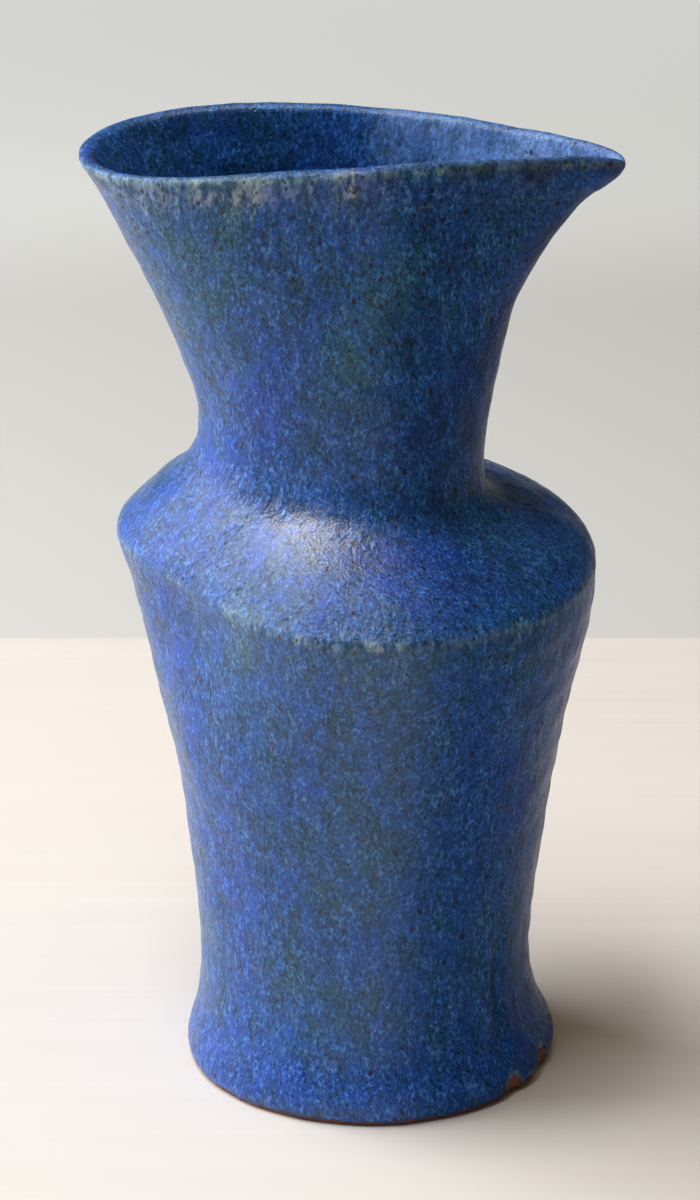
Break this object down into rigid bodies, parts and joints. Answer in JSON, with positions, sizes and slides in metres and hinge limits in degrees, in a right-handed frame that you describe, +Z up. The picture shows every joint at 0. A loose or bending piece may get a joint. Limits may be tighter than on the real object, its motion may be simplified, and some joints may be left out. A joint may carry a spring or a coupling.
{
  "type": "flower vase",
  "caption": "Tall hand-built stoneware flower vase with a flared foot, a sloping shoulder, and a squeezed oval neck that flares into a mouth with a pouring lip.",
  "frame": {"origin": "centre of the flat foot, on the surface that the vase stands on", "axes": "+Z up, +X towards the tip of the pouring lip, +Y towards the back"},
  "size_m": [0.1887, 0.1716, 0.345],
  "materials": {
    "bare_clay": "unglazed fired stoneware, red-brown, slightly rough",
    "blue_glaze": "satin cobalt-blue glaze, mottled, with iron specks and pale breaks on the edges",
    "inside_glaze": "the same satin blue glaze, poured inside"
  },
  "bodies": {
    "root": {"base_slab": "bare_clay", "foot_coil": "bare_clay", "lower_wall": "bare_clay", "upper_wall": "bare_clay", "shoulder_wall": "bare_clay", "neck_wall": "bare_clay", "mouth_wall": "bare_clay", "rim_coil": "bare_clay", "outer_glaze": "blue_glaze", "inner_glaze": "inside_glaze"}
  },
  "joints": []
}
